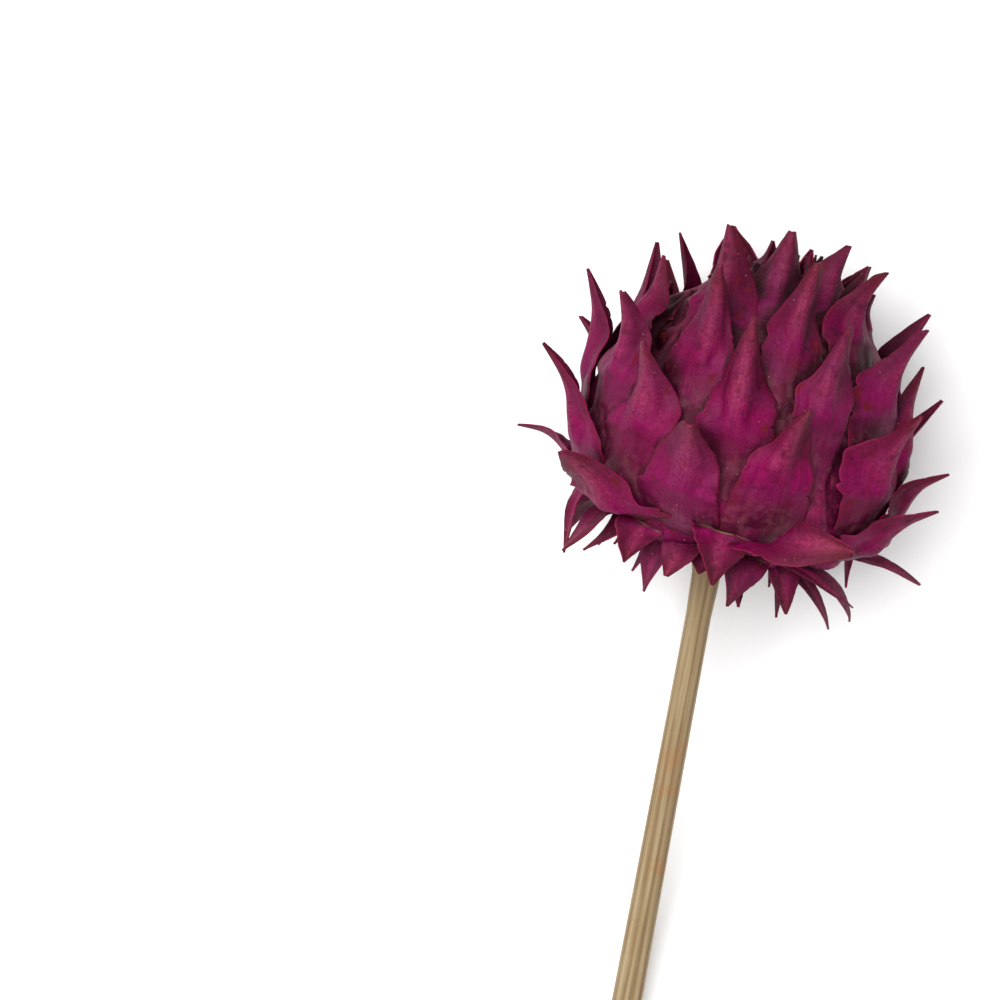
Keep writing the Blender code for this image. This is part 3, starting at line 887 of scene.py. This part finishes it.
@dataclass(frozen=True)
class DyedBract:
    """Dried bract dyed magenta: mauve bloom, brown stains and a red-brown tip, with painted shade in the hollows,
    where each bract tucks under its neighbours, on the claws' flanks and towards the apex, a painted highlight mixed
    with mauve dust on the claws' ridges, and a painted glow at the margins.
    """

    name: str
    neck: Colour = srgb(114, 36, 64)
    # Partly painted shade, where the bract tucks under its neighbours.
    base: Colour = srgb(88, 10, 46)
    shield: Colour = srgb(116, 0, 66)
    upper: Colour = srgb(108, 6, 56)
    claw: Colour = srgb(108, 24, 58)
    tip: Colour = srgb(96, 24, 36)
    # Mauve dust, also used as a painted highlight on the claws' ridges.
    dust_and_highlight: Colour = srgb(142, 48, 82)
    bloom: Colour = srgb(112, 30, 80)
    # Deep wine: the colour of dark dye patches and speckles, and of the painted shade on the claws' flanks.
    wine: Colour = srgb(62, 6, 30)
    # Painted shade for the hollows between the bracts.
    painted_shade: Colour = srgb(44, 5, 20)
    stain: Colour = srgb(92, 16, 22)
    # Painted glow of light through the thin margins.
    lit_rim: Colour = srgb(146, 14, 76)
    dried: Colour = srgb(92, 20, 34)
    fibre: Colour = srgb(158, 92, 104)
    scar: Colour = srgb(118, 106, 68)
    fleck: Colour = srgb(196, 140, 132)
    roughness: float = 0.56
    shine: float = 0.1
    fibres: float = 18.0
    relief: float = 0.25 * MM

    def places(self, sheet: Sheet) -> Places:
        """Reads the coordinates and attributes of the bracts, and the noises that several marks share.

        Args:
            sheet: The material's tree.

        Returns:
            Their sockets by name.
        """
        across, along_it, _ = sheet.uv("blade")
        found = {label: sheet.attribute(label) for label in ("tone", "scar", "hollow")}
        found["across"] = sheet.math("SUBTRACT", sheet.both(across, 2.0), 1.0)
        found["edge"] = sheet.math("ABSOLUTE", found["across"])
        found["along"] = along_it
        found["object"] = sheet.object_place()
        found["apexward"] = sheet.parts(found["object"])[1]
        for label, scale, rough in (("broad", 90.0, 0.55), ("patch", 280.0, 0.6), ("mottle", 900.0, 0.6)):
            found[label] = sheet.noise(found["object"], scale, 3.0, rough)
        return found

    def build(self, grain: bpy.types.NodeTree) -> bpy.types.Material:
        """Makes the material.

        Args:
            grain: The shared grain group.

        Returns:
            The material.
        """
        coat = Coat(self.name)
        at = self.places(coat)
        grown = coat.grain(grain, at["across"], at["along"], at["tone"], self.fibres)
        colour = self.pigment(coat, at, grown["Fibre"], grown["Grain"])
        colour, marked = self.marks(coat, at, grown["Fibre"], colour)
        coat.give("Base Color", colour)
        rough = coat.math("ADD", coat.both(coat.math("SUBTRACT", at["patch"], 0.5), 0.3), self.roughness)
        coat.give("Roughness", coat.math("ADD", rough, coat.both(marked, 0.2)))
        coat.give("Specular IOR Level", self.shine)
        wrinkle = coat.crease(coat.noise(at["object"], 420.0, 2.0, 0.6), 0.09)
        height = coat.math("ADD", grown["Height"], coat.both(wrinkle, -0.3))
        coat.emboss(coat.math("ADD", height, coat.both(at["mottle"], 0.7)), 0.5, self.relief)
        return coat.material

    def pigment(self, sheet: Sheet, at: Places, fibre: Socket, grain: Socket) -> Socket:
        """The dye along the bract and in patches, with painted shade in the hollows, where the bract tucks under its
        neighbours, on the claws' flanks and towards the apex, and a painted highlight mixed with dust on the claws'
        ridges.

        Args:
            sheet: The material's tree.
            at: Coordinates and attributes.
            fibre: Lengthwise fibres.
            grain: Fine grain.

        Returns:
            The colour.
        """
        along_it, edge, mottle = at["along"], at["edge"], at["mottle"]
        drift = sheet.both(sheet.math("SUBTRACT", at["broad"], 0.5), 0.34)
        # The dark base stop, where each bract tucks under its neighbours, is partly painted shade.
        stops = zip(
            (0.0, 0.16, 0.26, 0.49, 0.64, 0.80, 0.95),
            (self.neck, self.neck, self.base, self.shield, self.upper, self.claw, self.tip),
        )
        colour = sheet.ramp(sheet.math("ADD", along_it, drift), tuple(stops))
        # Painted shade on the claws' flanks beside the ridge.
        painted_flank_shade = sheet.both(sheet.span(edge, 0.3, 0.6), sheet.span(along_it, 0.52, 0.7))
        colour = sheet.mix(sheet.both(painted_flank_shade, 0.4), colour, self.wine)
        # Along the claws' ridges: mauve dust together with a painted highlight.
        ridge_highlight_and_dust = sheet.both(sheet.span(edge, 0.04, 0.5, 1.0, 0.0), sheet.span(along_it, 0.46, 0.66))
        ridge_highlight_and_dust = sheet.both(ridge_highlight_and_dust, sheet.span(mottle, 0.3, 0.66, 0.25, 1.0))
        colour = sheet.mix(sheet.both(ridge_highlight_and_dust, 0.52), colour, self.dust_and_highlight)
        bloomed = sheet.both(sheet.span(at["broad"], 0.48, 0.66), sheet.span(mottle, 0.25, 0.62, 0.4, 1.0))
        colour = sheet.mix(sheet.both(bloomed, 0.36), colour, self.bloom)
        colour = sheet.mix(sheet.span(at["patch"], 0.52, 0.72, 0.0, 0.6), colour, self.wine)
        colour = sheet.mix(sheet.span(at["tone"], 0.5, 1.0, 0.0, 0.22), colour, self.bloom)
        # Painted shade: darker where other bracts close over a place, from the ray-cast hollow attribute, and more so
        # towards the apex.
        deep = sheet.math("ADD", at["hollow"], sheet.span(at["apexward"], 0.05, 0.09, 0.0, 0.07))
        painted_shade_share = sheet.both(sheet.span(deep, 0.05, 0.36), sheet.span(at["apexward"], 0.04, 0.08, 0.56, 1.0))
        colour = sheet.mix(painted_shade_share, colour, self.painted_shade)
        shades = (
            # Darker towards the apex: painted shade.
            (at["apexward"], 0.05, 0.1, 0.98, 0.86),
            (fibre, 0.3, 0.7, 0.88, 1.1),
            (mottle, 0.3, 0.7, 0.9, 1.08),
            (grain, 0.35, 0.7, 0.9, 1.1),
        )
        for shade in shades:
            colour = sheet.shade(colour, *shade)
        return colour

    def marks(self, sheet: Sheet, at: Places, fibre: Socket, colour: Socket) -> tuple[Socket, Socket]:
        """The marks of drying and handling: speckles, stains, scratches, dry margins, flecks and scars, and a painted
        glow of light through the thin margins.

        Args:
            sheet: The material's tree.
            at: Coordinates and attributes.
            fibre: Lengthwise fibres.
            colour: The dyed colour.

        Returns:
            The marked colour, and how much a place is marked.
        """
        where, edge, patch = at["object"], at["edge"], at["patch"]
        speckle = sheet.span(sheet.spots(where, 1100.0), 0.16, 0.3, 1.0, 0.0)
        speckle = sheet.both(speckle, sheet.span(at["broad"], 0.42, 0.6))
        lane = sheet.vector(sheet.both(at["across"], 2.6), sheet.both(at["along"], 6.0), sheet.both(at["tone"], 60.0))
        blotch = sheet.span(sheet.noise(lane, 1.6, 4.0, 0.6), 0.61, 0.66)
        stained = sheet.both(blotch, sheet.span(edge, 0.25, 0.7, 0.35, 0.9))
        scratch = sheet.both(sheet.crease(sheet.noise(where, 130.0, 2.0, 0.7), 0.006), sheet.span(patch, 0.5, 0.6))
        pale = sheet.both(sheet.span(patch, 0.44, 0.66), sheet.span(at["along"], 0.22, 0.38, 1.0, 0.0))
        pale = sheet.both(pale, sheet.span(fibre, 0.3, 0.6, 0.6, 1.0))
        fleck = sheet.both(sheet.span(sheet.spots(where, 420.0), 0.03, 0.07, 1.0, 0.0), sheet.span(patch, 0.5, 0.56))
        # Painted glow of light through the very edge of the thin margins.
        thin = sheet.both(sheet.span(edge, 0.975, 1.0), sheet.span(at["broad"], 0.4, 0.55))
        torn = sheet.both(at["scar"], sheet.span(patch, 0.36, 0.48))
        marks = (
            (speckle, 0.5, self.wine),
            (stained, 1.0, self.stain),
            (scratch, 0.7, self.stain),
            (pale, 0.2, self.fibre),
            (fleck, 0.7, self.fleck),
            (sheet.span(edge, 0.86, 0.97), 0.4, self.dried),
            (thin, 0.7, self.lit_rim),
            (torn, 1.0, self.scar),
        )
        for mask, weight, paint in marks:
            colour = sheet.mix(sheet.both(mask, weight), colour, paint)
        return colour, sheet.math("MAXIMUM", torn, stained)


@dataclass(frozen=True)
class DyedAndShadedHeart:
    """The receptacle in the gaps between the bracts: deep wine with paler fibres, dyed and darkened as painted shade.
    """

    name: str = "dyed receptacle in painted shade"
    wine: Colour = srgb(72, 7, 38)
    fibre: Colour = srgb(112, 22, 60)
    roughness: float = 0.8
    shine: float = 0.1
    relief: float = 0.25 * MM

    def build(self) -> bpy.types.Material:
        """Makes the material.

        Returns:
            The material.
        """
        coat = Coat(self.name)
        rough = coat.noise(coat.object_place(), 700.0, 3.0, 0.6)
        # Dark wine: the receptacle's dye, darkened as painted shade in the gaps.
        coat.give("Base Color", coat.mix(coat.span(rough, 0.45, 0.7), self.wine, self.fibre))
        coat.give("Roughness", self.roughness)
        coat.give("Specular IOR Level", self.shine)
        coat.emboss(rough, 0.4, self.relief)
        return coat.material


@dataclass(frozen=True)
class BleachedStem:
    """Bleached stem bark: straw colour with browner grooves, pale ribs and specks."""

    name: str = "bleached stem bark"
    straw: Colour = srgb(138, 117, 84)
    pale: Colour = srgb(158, 139, 107)
    brown: Colour = srgb(116, 88, 58)
    rust: Colour = srgb(150, 100, 62)
    speck: Colour = srgb(92, 66, 44)
    roughness: float = 0.52
    shine: float = 0.2
    fibres: float = 70.0
    seed: float = 0.3
    relief: float = 0.2 * MM

    def build(self, grain: bpy.types.NodeTree) -> bpy.types.Material:
        """Makes the material.

        Args:
            grain: The shared grain group.

        Returns:
            The material.
        """
        coat = Coat(self.name)
        around, lengthwise, _ = coat.uv("bark")
        grown = coat.grain(grain, around, lengthwise, self.seed, self.fibres)
        where = coat.object_place()
        broad = coat.noise(where, 60.0, 3.0, 0.55)
        band = coat.noise(coat.vector(coat.both(around, 16.0), coat.both(lengthwise, 3.0), 4.0), 1.0, 2.0, 0.5)
        colour = coat.mix(coat.span(band, 0.35, 0.65), self.straw, self.pale)
        deep = coat.both(coat.attribute("groove"), coat.span(broad, 0.3, 0.65, 0.45, 1.0))
        colour = coat.mix(coat.both(deep, 0.75), colour, self.brown)
        colour = coat.mix(coat.span(broad, 0.58, 0.75, 0.0, 0.5), colour, self.rust)
        colour = coat.shade(colour, grown["Fibre"], 0.3, 0.7, 0.8, 1.14)
        speck = coat.span(coat.spots(where, 700.0), 0.08, 0.16, 1.0, 0.0)
        speck = coat.both(speck, coat.span(coat.noise(where, 220.0, 1.0), 0.52, 0.64))
        coat.give("Base Color", coat.mix(coat.both(speck, 0.6), colour, self.speck))
        coat.give("Roughness", coat.math("ADD", coat.both(grown["Fibre"], 0.2), self.roughness))
        coat.give("Specular IOR Level", self.shine)
        coat.emboss(grown["Height"], 0.5, self.relief)
        return coat.material


@dataclass(frozen=True)
class DryPith:
    """The stem's cut end: pale spongy pith with darker strands towards the bark."""

    name: str = "cut pith"
    pith: Colour = srgb(222, 208, 176)
    strand: Colour = srgb(150, 118, 80)
    roughness: float = 0.85
    relief: float = 0.25 * MM

    def build(self) -> bpy.types.Material:
        """Makes the material.

        Returns:
            The material.
        """
        coat = Coat(self.name)
        where = coat.object_place()
        strand = coat.span(coat.noise(where, 900.0, 2.0), 0.5, 0.62)
        coat.give("Base Color", coat.mix(coat.both(strand, 0.7), self.pith, self.strand))
        coat.give("Roughness", self.roughness)
        coat.emboss(coat.spots(where, 1500.0), 0.7, self.relief)
        return coat.material


def piece(name: str, build: bmesh.types.BMesh, *materials: bpy.types.Material) -> bpy.types.Object:
    """Makes a smooth-shaded object from a bmesh and puts it in the scene.

    Args:
        name: The piece's name.
        build: Its mesh, which is freed.
        *materials: Its materials, in slot order.

    Returns:
        The object.
    """
    mesh = bpy.data.meshes.new(name)
    build.to_mesh(mesh)
    build.free()
    mesh.shade_smooth()
    thing = bpy.data.objects.new(name, mesh)
    bpy.context.scene.collection.objects.link(thing)
    for material in materials:
        mesh.materials.append(material)
    return thing


class Tier(Enum):
    """The bracts in groups up the head: name, first and last index, faces across and along each."""

    HANGING = ("hanging_bracts", -41, -7, 20, 40)
    LOWER = ("lower_bracts", -6, 7, 32, 64)
    MIDDLE = ("middle_bracts", 8, 21, 32, 64)
    UPPER = ("upper_bracts", 22, 35, 28, 56)
    CROWN = ("crown_bracts", 36, 53, 20, 40)
    INNER = ("inner_bracts", 54, 135, 16, 28)


@dataclass
class Head:
    """The head's bracts and the receptacle that they are rooted in."""

    lie: Lie
    globe: Globe
    spiral: Spiral
    blade: float = 0.62 * MM
    blade_ends: tuple[float, float] = (-0.5, 1.0)
    core_inset: float = 2.2 * MM
    core_swell: float = 0.7
    core_hollow: float = 9.0 * MM
    core_from: float = 0.03
    core_share: float = 0.955
    core_rings: int = 28
    core_sides: int = 64
    looks_along: int = 19
    looks_across: int = 9
    looks_out: int = 24
    look_from: float = 0.8 * MM
    look_far: float = 24 * MM
    end_seed: int = 77
    tone_seed: int = 311
    scar_at: float = 0.405
    scar_slant: float = 0.02
    scar_width: float = 0.028
    margin_thinning: float = 0.55
    surfaces: dict[int, np.ndarray] = field(default_factory=dict)
    hollows: dict[int, np.ndarray] = field(default_factory=dict)

    @property
    def looks(self) -> tuple[Vector, ...]:
        """Ways to look out from a place, most of them near straight out along +Z.

        Returns:
            Unit vectors.
        """
        ways = []
        for number in range(self.looks_out):
            out = math.sqrt(1 - (number + 0.5) / self.looks_out)
            flat, turn = math.sqrt(1 - out * out), number * math.radians(Spiral.golden_turn)
            ways.append(Vector((flat * math.cos(turn), flat * math.sin(turn), out)))
        return tuple(ways)

    def grow(self) -> None:
        """Works out every bract's middle surface, laid down, and how hollow each place on it lies."""
        start, end = self.blade_ends
        for tier in Tier:
            _, first, last, across, lengthwise = tier.value
            for index in range(first, last + 1):
                u = np.linspace(-1.0, 1.0, across + 1)[None, :]
                lost = 0.05 * random.Random(self.end_seed + index).random() ** 2
                s = np.linspace(start, end - lost, lengthwise + 1)[:, None]
                surface = self.spiral.bract(index, self.globe).surface(u, s)
                self.surfaces[index] = self.lie.press(self.lie.place(surface))
        # How hollow each place lies sets the painted shade in the bracts' colour.
        self.hollows = self.hollow_places()

    def hollow_places(self) -> dict[int, np.ndarray]:
        """How hollow each place lies: how much of what is over it is other bracts.

        Returns:
            For each bract, a grid of shares from 0 to 1.
        """
        points, corners = [], []
        for surface in self.surfaces.values():
            rows, columns = surface.shape[:2]
            number = np.arange(rows * columns).reshape(rows, columns) + sum(len(p) for p in points)
            points.append(surface.reshape(-1, 3))
            quads = (number[:-1, :-1], number[:-1, 1:], number[1:, 1:], number[1:, :-1])
            corners.append(np.stack(quads, axis=-1).reshape(-1, 4))
        tree = BVHTree.FromPolygons(np.concatenate(points).tolist(), np.concatenate(corners).tolist())
        last = Bract.LAST_HANGING
        return {index: self.hollow(surface, tree, index < last) for index, surface in self.surfaces.items()}

    def hollow(self, surface: np.ndarray, tree: BVHTree, folded: bool) -> np.ndarray:
        """How hollow each place on one bract lies, looked at from a coarse grid of its places.

        Args:
            surface: The bract's points.
            tree: All the bracts, to look out through.
            folded: Whether it is folded over, so that its inner face is the one that shows.

        Returns:
            A grid of shares from 0 to 1.
        """
        rows, columns = surface.shape[:2]
        some_rows = np.linspace(0, rows - 1, self.looks_along).round().astype(int)
        some_columns = np.linspace(0, columns - 1, self.looks_across).round().astype(int)
        normals = np.cross(np.gradient(surface, axis=1), np.gradient(surface, axis=0))
        normals /= np.maximum(1e-12, np.linalg.norm(normals, axis=-1, keepdims=True)) * (-1 if folded else 1)
        coarse, looks = np.zeros((len(some_rows), len(some_columns))), self.looks
        for j, row in enumerate(some_rows):
            for i, column in enumerate(some_columns):
                normal = Vector(normals[row, column])
                start = Vector(surface[row, column]) + normal * self.look_from
                turn = normal.to_track_quat("Z", "Y")
                for look in looks:
                    distance = tree.ray_cast(start, turn @ look, self.look_far)[3]
                    coarse[j, i] += 0.0 if distance is None else 1 - distance / self.look_far
        coarse /= len(looks)
        by_row = np.array([np.interp(np.arange(rows), some_rows, column) for column in coarse.T]).T
        return np.array([np.interp(np.arange(columns), some_columns, row) for row in by_row])

    def add_blade(self, build: bmesh.types.BMesh, bract: Bract, across: int, lengthwise: int) -> None:
        """Adds one bract's middle surface to a mesh, with its coordinates along and across.

        Args:
            build: The mesh.
            bract: The bract.
            across: How many faces across.
            lengthwise: How many faces along.
        """
        uv = build.loops.layers.uv["blade"]
        tone, scar, hollow = (build.verts.layers.float[label] for label in ("tone", "scar", "hollow"))
        weight = build.verts.layers.deform.verify()
        points, hollows = self.surfaces[bract.index], self.hollows[bract.index]
        own_tone = random.Random(self.tone_seed + bract.index).random()
        made = bmesh.ops.create_grid(build, x_segments=across, y_segments=lengthwise, size=0.5)["verts"]
        for vertex in made:
            i = round((vertex.co.x + 0.5) * across)
            j = round((vertex.co.y + 0.5) * lengthwise)
            place, side = j / lengthwise, 2 * i / across - 1
            vertex.co = points[j, i]
            vertex[tone] = own_tone
            vertex[hollow] = hollows[j, i]
            crease = (place - self.scar_at - self.scar_slant * side) / self.scar_width
            vertex[scar] = float(bract.hangs) * math.exp(-(crease**2)) * (1 - side * side)
            vertex[weight][0] = 1.0 - self.margin_thinning * abs(side) ** 3
            for loop in vertex.link_loops:
                loop[uv].uv = (i / across, place)

    def tier(self, tier: Tier, finish: bpy.types.Material) -> bpy.types.Object:
        """Makes one tier of bracts as one piece.

        Args:
            tier: Which one.
            finish: The bracts' material.

        Returns:
            The piece.
        """
        name, first, last, across, lengthwise = tier.value
        build = bmesh.new()
        build.loops.layers.uv.new("blade")
        for label in ("tone", "scar", "hollow"):
            build.verts.layers.float.new(label)
        for index in range(first, last + 1):
            self.add_blade(build, self.spiral.bract(index, self.globe), across, lengthwise)
        thing = piece(name, build, finish)
        thing.vertex_groups.new(name="thick")
        thicken = thing.modifiers.new("blade thickness", "SOLIDIFY")
        thicken.thickness = self.blade
        thicken.offset = 0.0
        thicken.vertex_group = "thick"
        thicken.use_rim = True
        return thing

    def receptacle(self, finish: bpy.types.Material) -> bpy.types.Object:
        """Makes the closed body that the bracts are rooted in: swollen over the stem, sunk under the crown.

        Args:
            finish: Its material.

        Returns:
            The piece.
        """
        lengths, _, _ = self.globe.outline()
        build = bmesh.new()
        made = bmesh.ops.create_grid(build, x_segments=self.core_sides, y_segments=self.core_rings, size=0.5)["verts"]
        for vertex in made:
            turn = 2 * math.pi * (vertex.co.x + 0.5)
            length = (self.core_from + self.core_share * (vertex.co.y + 0.5)) * lengths[-1]
            radius, height, lean = (float(v) for v in self.globe.at(np.array(length)))
            share = np.array(length / lengths[-1])
            inset = self.core_inset * ((1 + self.core_swell) * float(eased(share, 0.05, 0.16)) - self.core_swell)
            inset += self.core_hollow * float(eased(share, 0.42, 0.72))
            radius = max(0.4 * MM, radius - inset * math.cos(lean))
            height = height + inset * math.sin(lean)
            vertex.co = self.lie.matrix() @ Vector((radius * math.sin(turn), -radius * math.cos(turn), height))
        bmesh.ops.remove_doubles(build, verts=build.verts, dist=1e-6)
        bmesh.ops.holes_fill(build, edges=build.edges, sides=0)
        bmesh.ops.recalc_face_normals(build, faces=build.faces)
        return piece("receptacle", build, finish)


@dataclass
class Stem:
    """The ribbed stem, widening under the head and cut square at its other end."""

    lie: Lie
    profile: Pairs = ((30.4, 7.0), (34, 5.3), (40, 3.8), (52, 3.3), (110, 3.6), (182, 4.1))
    bend_at: float = 34.0 * MM
    bend: float = math.radians(4.0)
    ribs: int = 9
    rib_depth: float = 0.05
    groove_sharpness: float = 1.6
    fine_ribs: tuple[tuple[int, float, float, float], ...] = ((23, 2.1, 9.0, 0.3), (41, 0.4, 0.0, 0.16))
    cut_steps: tuple[tuple[float, float], ...] = ((0.45, 0.0), (0.3, -0.25), (1.4, -0.2))
    around: int = 108
    lengthwise: int = 150

    def line(self, distance: float) -> Vector:
        """The stem's centre, laid down.

        Args:
            distance: How far below the head's centre, along the stem.

        Returns:
            The point.
        """
        beyond = max(0.0, distance - self.bend_at)
        down = -(distance - beyond) - beyond * math.cos(self.bend)
        return self.lie.matrix() @ Vector((beyond * math.sin(self.bend), 0, down))

    def ridge(self, turn: float, distance: float) -> float:
        """How far the bark stands out at a place, from about -1 in a groove to 1 on a rib.

        Args:
            turn: The angle round the stem.
            distance: How far below the head's centre.

        Returns:
            The height.
        """
        drift = 0.25 * math.sin(distance * 31.0 + 2.0 * math.sin(turn))
        round_rib = math.cos(self.ribs * turn + drift)
        sharp_rib = 1 - 2 * abs(math.sin((self.ribs * turn + drift) / 2)) ** self.groove_sharpness
        fine = 0.0
        for count, start, wander, tall in self.fine_ribs:
            fine += tall * math.cos(count * turn + start + distance * wander)
        return 0.75 * sharp_rib + 0.25 * round_rib + 0.5 * fine

    def make(self, bark: bpy.types.Material, pith: bpy.types.Material) -> bpy.types.Object:
        """Makes the stem.

        Args:
            bark: Its material.
            pith: The cut end's material.

        Returns:
            The piece.
        """
        build = bmesh.new()
        uv = build.loops.layers.uv.new("bark")
        groove = build.verts.layers.float.new("groove")
        frame = self.lie.matrix().to_3x3()
        top, end = self.profile[0][0] * MM, self.profile[-1][0] * MM
        made = bmesh.ops.create_grid(build, x_segments=self.around, y_segments=self.lengthwise, size=0.5)["verts"]
        for vertex in made:
            share_round, share_down = vertex.co.x + 0.5, vertex.co.y + 0.5
            for loop in vertex.link_loops:
                loop[uv].uv = (share_round, share_down)
            distance = top + (end - top) * share_down
            turn = 2 * math.pi * share_round
            ridge = self.ridge(turn, distance)
            radius = along(self.profile, distance / MM) * MM * (1 + self.rib_depth * ridge)
            around = Vector((math.sin(turn), -math.cos(turn), 0)) * radius
            vertex.co = self.line(distance) + frame @ around
            vertex[groove] = min(1.0, max(0.0, -ridge))
        bmesh.ops.remove_doubles(build, verts=build.verts, dist=1e-6)
        ends = bmesh.ops.holes_fill(build, edges=build.edges, sides=0)["faces"]
        bmesh.ops.recalc_face_normals(build, faces=build.faces)
        cut = min(ends, key=lambda f: f.calc_center_median().y)
        for inwards, outwards in self.cut_steps:
            bmesh.ops.inset_region(build, faces=[cut], thickness=inwards * MM, depth=outwards * MM)
        for face in build.faces:
            centre = face.calc_center_median() - self.line(end)
            if abs((frame.transposed() @ centre).z) < 0.6 * MM and face.normal.dot(frame @ Vector((0, 0, -1))) > 0.5:
                face.material_index = 1
        for vertex in build.verts:
            vertex.co.z = max(vertex.co.z, 0.0)
        return piece("stem_bark", build, bark, pith)


@dataclass(frozen=True)
class Studio:
    """The pale floor, the soft lights and the camera."""

    lie: Lie
    view_height: float = math.radians(8)
    roll: float = math.radians(14.5)
    distance: float = 0.9
    frame_width: float = 0.268
    head_pixel: tuple[float, float] = (742, 430)
    image: int = 1000
    sensor: float = 36.0
    key_offset: tuple[float, float, float] = (-0.24, 0.12, 0.95)
    key_size: float = 0.9
    key_power: float = 15.5
    sky_strength: float = 0.5
    floor_shade: Colour = (0.95, 0.95, 0.95)
    floor_drop: float = 0.05 * MM

    def axes(self) -> tuple[Vector, Vector, Vector]:
        """The image's right and up and the way to the camera, at the head.

        Returns:
            Three unit vectors.
        """
        turn = self.lie.matrix().to_3x3()
        way = turn @ Vector((0, -math.cos(self.view_height), math.sin(self.view_height)))
        plain_right = turn @ Vector((1, 0, 0))
        plain_up = way.cross(plain_right)
        right = math.cos(self.roll) * plain_right + math.sin(self.roll) * plain_up
        up = math.cos(self.roll) * plain_up - math.sin(self.roll) * plain_right
        return right, up, way

    def camera(self) -> None:
        """Puts the camera where the head falls on its place in the photograph's frame."""
        right, up, way = self.axes()
        head = Vector(self.lie.head_centre)
        place = head + self.distance * way
        pixel = self.frame_width / self.image
        aim = head + right * (self.image / 2 - self.head_pixel[0]) * pixel
        aim = aim + up * (self.head_pixel[1] - self.image / 2) * pixel
        back = (place - aim).normalized()
        side = up.cross(back).normalized()
        data = bpy.data.cameras.new("camera")
        data.sensor_width = self.sensor
        data.lens = self.sensor * self.distance / self.frame_width
        data.clip_start = 0.01
        thing = bpy.data.objects.new("camera", data)
        turn = Matrix((side, back.cross(side), back)).transposed().to_4x4()
        turn.translation = place
        thing.matrix_world = turn
        bpy.context.scene.collection.objects.link(thing)
        bpy.context.scene.camera = thing

    def light(self, name: str, offset: Vector, size: float, power: float) -> None:
        """Adds a soft square light aimed at the head.

        Args:
            name: Its name.
            offset: Where it is from the head: right, up and towards the camera, in the image.
            size: Its side.
            power: Its power in watts.
        """
        right, up, way = self.axes()
        head = Vector(self.lie.head_centre)
        place = head + offset.x * right + offset.y * up + offset.z * way
        data = bpy.data.lights.new(name, "AREA")
        data.size = size
        data.energy = power
        thing = bpy.data.objects.new(name, data)
        thing.location = place
        thing.rotation_euler = (place - head).to_track_quat("Z", "Y").to_euler()
        bpy.context.scene.collection.objects.link(thing)

    def floor(self) -> bpy.types.Object:
        """Makes the pale floor.

        Returns:
            The floor.
        """
        build = bmesh.new()
        bmesh.ops.create_grid(build, x_segments=1, y_segments=1, size=4.0)
        bmesh.ops.translate(build, verts=build.verts, vec=(0, 0, -self.floor_drop))
        coat = Coat("pale floor")
        coat.give("Base Color", self.floor_shade)
        coat.give("Roughness", 0.9)
        return piece("floor", build, coat.material)

    def build(self) -> None:
        """Makes the whole studio."""
        self.floor()
        self.camera()
        self.light("key", Vector(self.key_offset), self.key_size, self.key_power)
        world = bpy.data.worlds.new("studio")
        world.use_nodes = True
        sky = world.node_tree.nodes["Background"]
        sky.inputs["Color"].default_value = (1.0, 1.0, 1.0, 1.0)
        sky.inputs["Strength"].default_value = self.sky_strength
        bpy.context.scene.world = world
        bpy.context.scene.view_settings.view_transform = "Standard"


def seat(thing: bpy.types.Object, node: str, slot: str) -> None:
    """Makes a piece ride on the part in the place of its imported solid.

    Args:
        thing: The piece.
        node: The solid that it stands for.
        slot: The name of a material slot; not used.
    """
    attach(thing, "root")
    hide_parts(node)
    log.info("%s stands for %s", thing.name, node)


def main() -> None:
    """Builds the head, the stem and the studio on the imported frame."""
    logging.basicConfig(level=logging.INFO, format="%(message)s")
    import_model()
    lie, globe = Lie(), Globe()
    grain = GrainEffect().build()
    bract_finish = DyedBract("dyed bract").build(grain)
    head = Head(lie=lie, globe=globe, spiral=Spiral())
    head.grow()
    for tier in Tier:
        seat(head.tier(tier, bract_finish), "head", "bract")
    seat(head.receptacle(DyedAndShadedHeart().build()), "head", "bract")
    seat(Stem(lie=lie).make(BleachedStem().build(grain), DryPith().build()), "stem", "stem")
    Studio(lie=lie).build()
    log.info("sizes written")


if __name__ == "__main__":
    main()
